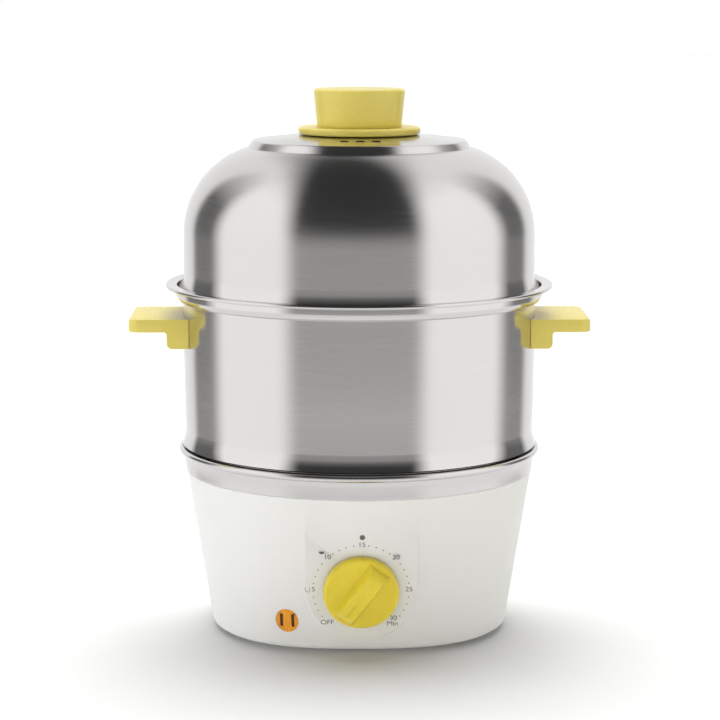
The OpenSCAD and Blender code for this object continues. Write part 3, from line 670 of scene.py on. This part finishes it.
def make_handle(name, side, part):
    """L-shaped handle: a flat arm on a short leg that hugs the pot."""
    root_x, leg_x, arm_low = POT_R - 6, POT_R + 7, HANDLE_TOP - 6
    outline = rounded([(root_x, HANDLE_LOW), (leg_x, HANDLE_LOW, 2.4), (leg_x, arm_low, 1.4),
                       (HANDLE_REACH, arm_low, 1.2), (HANDLE_REACH, HANDLE_TOP, 1.6), (root_x, HANDLE_TOP)],
                      steps=4)
    points, faces = extruded([outline], -HANDLE_DEPTH, HANDLE_DEPTH)
    made = add_object(name, [(x, y, z) for x, z, y in points], faces)
    plan = rounded([(root_x - 2, -HANDLE_DEPTH), (HANDLE_REACH, -HANDLE_DEPTH, 6),
                    (HANDLE_REACH, HANDLE_DEPTH, 6), (root_x - 2, HANDLE_DEPTH)], steps=8)
    past = (HANDLE_LOW - 5, HANDLE_TOP + 5)
    made = boolean(made, "INTERSECT", [add_object("keep", *extruded([plan], *past))])
    made = boolean(made, "DIFFERENCE", [rod("pot", POT_R + 0.2, *past, steps=256)])
    bevel(made, 0.8, 3, 50)
    if side < 0:
        made.data.transform(Matrix.Scale(-1, 4, (1, 0, 0)))
        made.data.flip_normals()
    return finish_piece(made, YELLOW, "ring", "yellow_plastic", part)


# ---- Lid ----

def lid_side(inset):
    """The lid's section from its lip over the dome to the middle of its top plate."""
    flare_r, middle = 23, LID_WALL_R - DOME_R
    wall = (arc((LID_WALL_R + flare_r, LID_WALL_Z), flare_r + inset, 180 + 28.6, 180, 14)
            + arc((middle, DOME_Z), DOME_R - inset, 0, 74.1, 40))
    top = LID_TOP - inset
    crown = rounded([wall[-1], (middle + 10.7 - inset / 2, top - 4.7, 1.0),
                     (middle + 9.6 - inset / 2, top - 2.9, 1.4), (29, top - 0.5, 20),
                     (12, top), (0, top)], False)
    return wall + crown[1:]


def make_lid():
    """The lid's shell, with three steam vents in front and three behind that widen downwards."""
    shell = lathe("lid", lid_side(0) + lid_side(SHEET)[::-1])
    vent = [(0, LID_TOP - 4), (5.6, LID_TOP - 4), (2, LID_TOP - 1.3), (2, LID_TOP + 4), (0, LID_TOP + 4)]
    cuts = []
    for turn in [half + 11.3 * k for half in (0, 180) for k in (-1, 0, 1)]:
        a = math.radians(turn)
        cuts.append(shift(lathe("vent", vent, None, 32), 37.5 * math.sin(a), -37.5 * math.cos(a)))
    shell = boolean(shell, "DIFFERENCE", cuts)
    return finish_piece(shell, STEEL, "lid", "brushed_steel", "lid_shell")


def make_lid_knob():
    neck_r, under = KNOB_R - 2.2, GRIP_Z - 0.3
    flange = rounded([(0, LID_TOP), (FLANGE_R - 2.4, LID_TOP), (FLANGE_R, LID_TOP - 0.1, 1.2),
                      (FLANGE_R, GRIP_Z, 1.4), (neck_r, GRIP_Z, 0.4), (neck_r, under), (0, under)])
    finish_piece(lathe("lid_flange", flange), YELLOW, "lid", "yellow_plastic", "lid_knob_flange")
    grip = rounded([(0, GRIP_Z), (KNOB_R - 1.8, GRIP_Z, 0.3), (KNOB_R, GRIP_TOP, 1.3), (0, GRIP_TOP)],
                   steps=8)
    finish_piece(lathe("lid_grip", grip), YELLOW, "lid", "yellow_plastic", "lid_knob_grip")


# ---- Timer knob ----

SKIRT_TOP = 5.2
GRIP_H = 6.4
GRIP_FOOT = 5.7  # half the bar's width at its foot
GRIP_SLANT = 1.9  # how far a flank leans in over the bar's height
GRIP_FLAT = 9.8  # half the length that keeps the full height
GRIP_END = 4.8  # length of an elliptical end
END_LIMIT = 0.9  # share of an end after which it runs on straight
GROOVE_DEPTH = 0.4
GROOVE_FROM, GROOVE_TO = 3.0, 11.2
DISH_R = 15.6
POINTER_TURN = 143.0


def smooth_min(a, b, k):
    """The smaller of two values, blended where they are closer together than k."""
    return min(a, b) - max(k - abs(a - b), 0.0) ** 2 / (4 * k)


def clamp(value):
    return max(0.0, min(1.0, value))


def knob_height(x, y):
    """Height of the timer knob's top over its disc, with the bar grip along y and its pointer end at +y."""
    flank = (GRIP_FOOT - abs(x)) * GRIP_H / GRIP_SLANT
    past = max(0.0, abs(y) - GRIP_FLAT) / GRIP_END
    if past < END_LIMIT:
        end = math.sqrt(1 - past * past)
    else:
        rest = math.sqrt(1 - END_LIMIT ** 2)
        end = rest - 2 * END_LIMIT / rest * (past - END_LIMIT)
    bar = smooth_min(flank, GRIP_H * end, 1.1)
    bar = -smooth_min(-bar, 0.0, 0.7)
    groove = GROOVE_DEPTH * clamp((0.5 - abs(x)) / 0.15) * clamp(min(y - GROOVE_FROM, GROOVE_TO - y) / 0.3)
    dish = 0.35 * max(0.0, 1 - (math.hypot(x, y) / DISH_R) ** 2)
    return SKIRT_TOP - dish + bar - groove


def make_dial_knob():
    """The timer knob: its top is a grid of heights over a disc, its skirt rings round the grid's border."""
    edge_r, gap, rows = 1.5, 0.9, 120
    flat_r = DIAL_R - edge_r
    # The columns lie closest where the bar's flanks bend
    half = [0, 0.2, 0.34, 0.42, 0.5, 0.7, 1.2, 1.8, 2.4, 2.9, 3.3, 3.5, 3.65, 3.8, 3.95, 4.2, 4.6, 5.0, 5.3,
            5.5, 5.7, 5.9, 6.1, 6.4, 7, 7.8, 8.7, 9.6, 10.5, 11.4, 12.3, 13.1, 13.8, 14.4, 14.9, 15.3, 15.6,
            15.8, 15.93]
    columns = [-x for x in half[:0:-1]] + half
    points = []
    for x in columns:
        reach = math.sqrt(flat_r ** 2 - x * x)
        ys = [reach * math.sin(math.pi / 2 * (-1 + 2 * j / rows)) for j in range(rows + 1)]
        points += [(x, y, knob_height(x, y)) for y in ys]
    line, last = rows + 1, len(columns) - 1
    faces = [(i * line + j, (i + 1) * line + j, (i + 1) * line + j + 1, i * line + j + 1)
             for i in range(last) for j in range(rows)]
    border = ([i * line for i in range(last + 1)] + [last * line + j for j in range(1, rows + 1)]
              + [i * line + rows for i in range(last - 1, -1, -1)] + list(range(rows - 1, 0, -1)))
    skirt = (arc((flat_r, SKIRT_TOP - edge_r), edge_r, 90, 0, 8)[1:]
             + [(DIAL_R, gap + 0.3), (DIAL_R - 0.3, gap), (DIAL_R - 2, gap), (DIAL_R - 2, SKIRT_TOP - 2)])
    count = len(border)
    previous = border
    for r, z in skirt:
        ring = list(range(len(points), len(points) + count))
        for x, y, _ in [points[index] for index in border]:
            scale = r / math.hypot(x, y)
            points.append((x * scale, y * scale, z))
        faces += [(previous[k], ring[k], ring[(k + 1) % count], previous[(k + 1) % count])
                  for k in range(count)]
        previous = ring
    faces.append(tuple(previous))
    turn = FACE @ Matrix.Rotation(math.radians(POINTER_TURN), 4, "Z")
    made = add_object("timer_knob", points, faces, turn, 75)
    return finish_piece(made, DIAL_YELLOW, "timer_dial", "yellow_plastic", "dial_knob")


# ---- Printed scale ----

SCALE_R = 22.3
INK_GAP, INK_T = 0.005, 0.03
LABEL_SIZE, LABEL_WIDTH = 3.25, 1.15


def on_scale(minute):
    """The place of a minute on the scale, which starts at OFF on the lower left and runs clockwise."""
    a = math.radians(-135 + 9 * minute)
    return SCALE_R * math.sin(a), SCALE_R * math.cos(a)


def print_flat(name, outlines):
    """Ink film: closed outlines in the panel's plane."""
    made = add_object(name, *extruded(outlines, INK_GAP, INK_GAP + INK_T), FACE)
    return finish_piece(made, INK, "base", "white_housing")


def disc(x, y, r, steps=20):
    return arc((x, y), r, 0, 360, steps)[:-1]


def ring_strip(points, width):
    """A closed outline round an open line of points."""
    left, right = [], []
    for i, point in enumerate(points):
        before = Vector(points[max(0, i - 1)])
        after = Vector(points[min(len(points) - 1, i + 1)])
        along = (after - before).normalized()
        across = Vector((-along.y, along.x)) * width / 2
        left.append(tuple(Vector(point) + across))
        right.append(tuple(Vector(point) - across))
    return left + right[::-1]


def make_scale():
    print_flat("scale_dots", [disc(*on_scale(minute), 0.3) for minute in range(1, 30) if minute % 5])
    labels = {"OFF": (-15.7, -16.2), "5": (-22.1, 0.4), "10": (-15.6, 16.5), "15": (0.3, 22.5),
              "20": (16.1, 16.3), "25": (22.2, 0.3), "30": (15.0, -14.1), "Min": (14.6, -16.9)}
    for words, at in labels.items():
        add_label(words, at)
    print_flat("mark_hard", [disc(0.5, 26.2, 1.25, 40)])
    print_flat("mark_medium", [arc((-18.3, 19.3), 1.35, 180, 360, 15)])
    cup = [(-25.9, 1.5)] + arc((-24.8, 0.2), 1.1, 180, 360, 12) + [(-23.7, 1.5)]
    print_flat("mark_soft", [ring_strip(cup, 0.2)])


def add_label(words, at):
    """Words printed on the panel, centred on a place."""
    curve = bpy.data.curves.new("label_" + words, "FONT")
    curve.body = words
    curve.size = LABEL_SIZE * MM
    curve.extrude = INK_T / 2 * MM
    curve.align_x = "CENTER"
    curve.align_y = "CENTER"
    curve.space_character = 0.95
    drawn = bpy.data.objects.new("curve_" + words, curve)
    bpy.context.scene.collection.objects.link(drawn)
    bpy.context.view_layer.update()
    mesh = bpy.data.meshes.new_from_object(drawn.evaluated_get(bpy.context.evaluated_depsgraph_get()))
    bpy.data.objects.remove(drawn)
    mesh.transform(FACE @ Matrix.Translation((at[0] * MM, at[1] * MM, (INK_GAP + INK_T / 2) * MM))
                   @ Matrix.Scale(LABEL_WIDTH, 4, (1, 0, 0)))
    made = bpy.data.objects.new("label_" + words, mesh)
    bpy.context.scene.collection.objects.link(made)
    return finish_piece(made, INK, "base", "white_housing")


# ---- Lamp ----

def make_lamp():
    """The indicator: a clear amber cap over a ribbed, faintly glowing reflector with two dark electrodes."""
    place = wall_frame(-LENS_TURN, LENS_Z)
    clear = new_material("amber_cap", (1.0, 0.85, 0.58), 0.04, Transmission_Weight=1.0, IOR=1.3)
    drive(clear, "Base Color", mix(clear, noise(clear, 300, 3), (1.0, 0.83, 0.52), (1.0, 0.87, 0.62)))
    cap = rounded([(0, -0.3), (LENS_R, -0.3), (LENS_R, 0.6, 0.8), (0, 1.25)])
    finish_piece(lathe("lamp_cap", cap, place, 96), clear, "base", "amber_lens", "indicator_lens")

    glow = moulded("amber_reflector", (1.0, 0.62, 0.08), 0.3, tone=0.12)
    shader_of(glow).inputs["Emission Color"].default_value = (1.0, 0.45, 0.03, 1)
    shader_of(glow).inputs["Emission Strength"].default_value = 0.3
    ribs, steps, half, back = 9, 8, LENS_R - 0.1, -2.2
    points, faces = [], []
    for i in range(ribs * steps + 1):
        x = -half + 2 * half * i / (ribs * steps)
        z = -1.1 + 0.25 * math.cos(2 * math.pi * i / steps)
        reach = math.sqrt(max(0.02, (LENS_R - 0.08) ** 2 - x * x))
        points += [(x, -reach, z), (x, reach, z), (x, reach, back), (x, -reach, back)]
    for first in range(0, ribs * steps * 4, 4):
        faces += [(first + k, first + 4 + k, first + 4 + (k + 1) % 4, first + (k + 1) % 4) for k in range(4)]
    faces += [(0, 1, 2, 3), tuple(range(len(points) - 4, len(points)))]
    finish_piece(add_object("lamp_reflector", points, faces, place, 60), glow, "base", "amber_lens")

    dark = moulded("lamp_electrode", (0.10, 0.02, 0.006), 0.35, tone=0.2)
    for side, name in ((-1, "left"), (1, "right")):
        plate = block("lamp_electrode_" + name, (side * 2.75 - 0.65, -3.0, -1.0), (1.3, 6.0, 0.6), place)
        finish_piece(bevel(plate, 0.2), dark, "base", "amber_lens")


# ---- Stage ----

def make_floor():
    half, grey = 9000, 0.80
    corners = [(x * half, y * half, 0) for x, y in ((-1, -1), (1, -1), (1, 1), (-1, 1))]
    floor = add_object("floor", corners, [(0, 1, 2, 3)])
    material = new_material("floor_paper", (grey,) * 3, 0.9, Specular_IOR_Level=0.0)
    fibre = noise(material, 60, 3)
    drive(material, "Base Color", mix(material, fibre, (grey - 0.005,) * 3, (grey + 0.005,) * 3))
    floor.data.materials.append(material)
    floor.visible_glossy = False


def make_world():
    """Three surroundings: a studio seen in reflections only, a soft light, and plain white for the camera."""
    world = bpy.data.worlds.new("studio")
    world.use_nodes = True
    world.cycles.sampling_method = "NONE"
    world.node_tree.nodes.clear()
    bpy.context.scene.world = world

    def ramp(value, stops, interpolation="LINEAR"):
        """Colours at places between 0 and 1."""
        made = node(world, "ShaderNodeValToRGB")
        made.color_ramp.interpolation = interpolation
        elements = made.color_ramp.elements
        while len(elements) < len(stops):
            elements.new(0.5)
        for element, (place, color) in zip(elements, stops):
            element.position = place
            element.color = (*color, 1)
        link(world, value, made.inputs[0])
        return made.outputs[0]

    direction = node(world, "ShaderNodeSeparateXYZ")
    link(world, node(world, "ShaderNodeTexCoord").outputs["Generated"], direction.inputs[0])
    x, y, z = direction.outputs
    azimuth = maths(world, "ARCTAN2", x, maths(world, "MULTIPLY", y, -1.0))
    # 0.5 is straight ahead of the cooker, 0 and 1 are straight behind it
    round_share = maths(world, "ADD", maths(world, "DIVIDE", azimuth, 2 * math.pi), 0.5)

    def by_height(*stops):
        """A grey that changes with the height of the direction: -1 is straight down, 1 straight up."""
        height = maths(world, "MULTIPLY_ADD", z, 0.5, 0.5)
        return ramp(height, [(up / 2 + 0.5, (grey,) * 3) for up, grey in stops])

    def by_turn(*stops):
        """A share that changes with the direction's angle from straight ahead, in degrees."""
        return ramp(round_share, [(degrees / 360 + 0.5, (share,) * 3) for degrees, share in stops])

    def smooth(value, first, last):
        return remap(world, value, first, last, interpolation_type="SMOOTHSTEP")

    # What the steel reflects
    ahead = by_height((-1, 1.0), (-0.30, 0.84), (-0.2, 0.44), (-0.1, 0.37), (0.08, 0.34), (0.22, 0.15),
                      (0.4, 0.05), (1, 0.04))
    behind = by_height((-1, 1.0), (0, 0.95), (0.42, 0.85), (0.62, 0.2), (0.8, 0.06), (1, 0.04))
    soft_box = by_height((-1, 1.0), (-0.36, 1.0), (-0.25, 1.15), (0.72, 1.2), (0.9, 1.0), (1, 0.8))
    side = by_height((-1, 1.0), (-0.3, 0.96), (-0.2, 0.3), (0, 0.17), (0.35, 0.14), (0.6, 0.6), (0.8, 1.0),
                     (1, 0.9))
    backdrop = by_height((-1, 1.0), (0, 0.95), (1, 1.0))
    side_share = by_turn((-142, 0), (-134, 1), (-112, 1), (-100, 0), (98, 0), (112, 1), (132, 1), (142, 0))
    behind_share = by_turn((-142, 1), (-134, 0), (132, 0), (142, 1))
    # The dark gap between the soft boxes is wide ahead and narrow behind
    leftward = maths(world, "SUBTRACT", -0.47, x)
    rightward = maths(world, "SUBTRACT", x, 0.36)
    outward = maths(world, "MULTIPLY_ADD", y, 0.38, maths(world, "MAXIMUM", leftward, rightward))
    outer = mix(world, side_share, mix(world, behind_share, soft_box, backdrop), side)
    studio = mix(world, smooth(outward, -0.14, 0.13), mix(world, behind_share, ahead, behind), outer)

    # What lights the plastic and the floor: a low band all round and a bright cone overhead, leaning back
    low_light = ramp(round_share, [
        (0.0, (0.35, 0.35, 0.35)), (0.13, (1.1, 1.11, 1.15)), (0.27, (3.3, 3.32, 3.42)),
        (0.42, (2.05, 2.0, 1.92)), (0.55, (1.7, 1.62, 1.43)), (0.72, (1.35, 1.33, 1.2)),
        (0.87, (0.6, 0.6, 0.58)), (1.0, (0.35, 0.35, 0.35))], "EASE")
    dim, bright = (0.03,) * 3, (5.75,) * 3
    leaning_up = maths(world, "ADD", maths(world, "MULTIPLY", z, 0.927), maths(world, "MULTIPLY", y, 0.375))
    soft = mix(world, smooth(leaning_up, 0.82, 0.93), mix(world, smooth(z, 0.2, 0.4), low_light, dim), bright)

    ray = node(world, "ShaderNodeLightPath").outputs
    lit = mix(world, ray["Is Glossy Ray"], soft, studio)
    background = node(world, "ShaderNodeBackground")
    link(world, mix(world, ray["Is Camera Ray"], lit, (1.0, 1.0, 1.0)), background.inputs["Color"])
    link(world, background.outputs[0], node(world, "ShaderNodeOutputWorld").inputs["Surface"])


def make_camera():
    place, turn, down, roll = (-0.016, -1.22, 0.31305), -0.771, 8.63, 0.05
    camera = bpy.data.cameras.new("camera")
    camera.lens = 126.7
    camera.sensor_width = 36
    made = bpy.data.objects.new("camera", camera)
    made.matrix_world = (Matrix.Translation(place) @ Matrix.Rotation(math.radians(turn), 4, "Z")
                         @ Matrix.Rotation(math.radians(90 - down), 4, "X")
                         @ Matrix.Rotation(math.radians(roll), 4, "Z"))
    bpy.context.scene.collection.objects.link(made)
    bpy.context.scene.camera = made


make_camera()
make_housing()
make_cover()
make_collar()
make_pan()
make_ring()
make_handle("handle_arm_right", 1, "handle_right")
make_handle("handle_arm_left", -1, "handle_left")
make_rack()
make_tray()
make_lid()
make_lid_knob()
make_dial_knob()
make_scale()
make_lamp()
make_floor()
make_world()
bpy.context.scene.view_settings.view_transform = "Standard"
